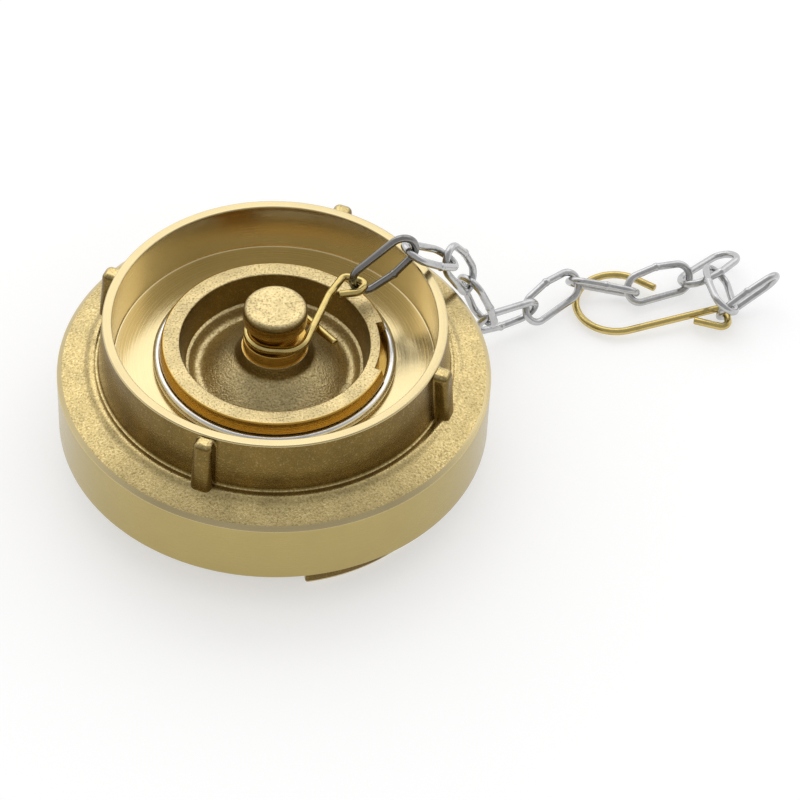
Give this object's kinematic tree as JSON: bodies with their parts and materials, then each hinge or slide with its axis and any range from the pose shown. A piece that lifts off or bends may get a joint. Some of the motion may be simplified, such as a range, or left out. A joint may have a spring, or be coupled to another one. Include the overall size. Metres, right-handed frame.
{
  "type": "storz blank cap",
  "caption": "Round brass blank cap with two claws, a turning locking ring with wrench lugs, a fixed closing plug with knob, and a wire chain with an open hook.",
  "frame": {"origin": "on the turning axis, in the mating plane where the two halves' seals meet", "axes": "+Z along the turning axis to the closed rear side; -Z points out of the mating side; +X to the right in the picture"},
  "size_m": [0.1424, 0.095, 0.0428],
  "materials": {
    "cast_brass": "sand-cast, turned where it seats",
    "plug_brass": "sand-cast, turned where it seats",
    "hook_brass": "drawn wire",
    "chain_steel": "zinc plated",
    "spring_steel": "bright wire",
    "seal_rubber": "moulded"
  },
  "bodies": {
    "ring": {"coupling_ring": "cast_brass"},
    "plug": {"blank_plug": "plug_brass", "snap_ring": "spring_steel", "seal_ring": "seal_rubber"},
    "knob_hook": {"knob_hook": "hook_brass"},
    "link_01": {"link_01": "chain_steel"},
    "link_02": {"link_02": "chain_steel"},
    "link_03": {"link_03": "chain_steel"},
    "link_04": {"link_04": "chain_steel"},
    "link_05": {"link_05": "chain_steel"},
    "link_06": {"link_06": "chain_steel"},
    "link_07": {"link_07": "chain_steel"},
    "link_08": {"link_08": "chain_steel"},
    "link_09": {"link_09": "chain_steel"},
    "link_10": {"link_10": "chain_steel"},
    "link_11": {"link_11": "chain_steel"},
    "end_hook": {"end_hook": "hook_brass"}
  },
  "joints": [
    {"name": "plug_swivel", "type": "hinge", "parent": "ring", "child": "plug", "pos_m": [0, 0, 0.0135], "axis": [0, 0, 1], "continuous": true},
    {"name": "hook_swivel", "type": "hinge", "parent": "ring", "child": "knob_hook", "pos_m": [0, 0, 0.023], "axis": [0, 0, -1], "range_deg": [-20, 36]},
    {"name": "link_01_swing", "type": "hinge", "parent": "knob_hook", "child": "link_01", "pos_m": [0.01667, 0.01164, 0.0246], "axis": [-0.4495, 0.8933, 0], "range_deg": [-40, 0]},
    {"name": "link_02_swing", "type": "hinge", "parent": "link_01", "child": "link_02", "pos_m": [0.02491, 0.01456, 0.03025], "axis": [0.5942, -0.8024, -0.0548], "range_deg": [0, 90]},
    {"name": "link_03_swing", "type": "hinge", "parent": "link_02", "child": "link_03", "pos_m": [0.03281, 0.02222, 0.02177], "axis": [-0.7384, 0.6375, 0.2201], "range_deg": [-90, 0]},
    {"name": "link_04_swing", "type": "hinge", "parent": "link_03", "child": "link_04", "pos_m": [0.03702, 0.02566, 0.01235], "axis": [0.6347, -0.7359, 0.2357], "range_deg": [-8, 80]},
    {"name": "link_05_swing", "type": "hinge", "parent": "link_04", "child": "link_05", "pos_m": [0.04191, 0.02686, -0.00069], "axis": [0.6061, -0.737, 0.2991], "range_deg": [-16, 80]},
    {"name": "link_06_swing", "type": "hinge", "parent": "link_05", "child": "link_06", "pos_m": [0.05051, 0.0324, -0.0048], "axis": [0.6347, -0.1182, -0.7637], "range_deg": [-90, 0]},
    {"name": "link_07_swing", "type": "hinge", "parent": "link_06", "child": "link_07", "pos_m": [0.06029, 0.04207, -0.00284], "axis": [0.5066, -0.2697, -0.8189], "range_deg": [-10, 70]},
    {"name": "link_08_swing", "type": "hinge", "parent": "link_07", "child": "link_08", "pos_m": [0.07229, 0.03977, -0.00425], "axis": [0.4473, 0.5038, -0.739], "range_deg": [-70, 0]},
    {"name": "link_09_swing", "type": "hinge", "parent": "link_08", "child": "link_09", "pos_m": [0.08192, 0.04461, -0.00575], "axis": [-0.0413, 0.9295, -0.3665], "range_deg": [-70, 0]},
    {"name": "link_10_swing", "type": "hinge", "parent": "link_09", "child": "link_10", "pos_m": [0.09035, 0.04607, -0.004], "axis": [-0.6592, -0.7191, -0.2197], "range_deg": [0, 60]},
    {"name": "link_11_swing", "type": "hinge", "parent": "link_10", "child": "link_11", "pos_m": [0.09161, 0.03385, -0.00362], "axis": [-0.4901, -0.6598, 0.5696], "range_deg": [0, 55]},
    {"name": "end_hook_swing", "type": "hinge", "parent": "link_11", "child": "end_hook", "pos_m": [0.08938, 0.03598, -0.0072], "axis": [0.435, 0.6253, -0.6479], "range_deg": [-18, 0]}
  ]
}
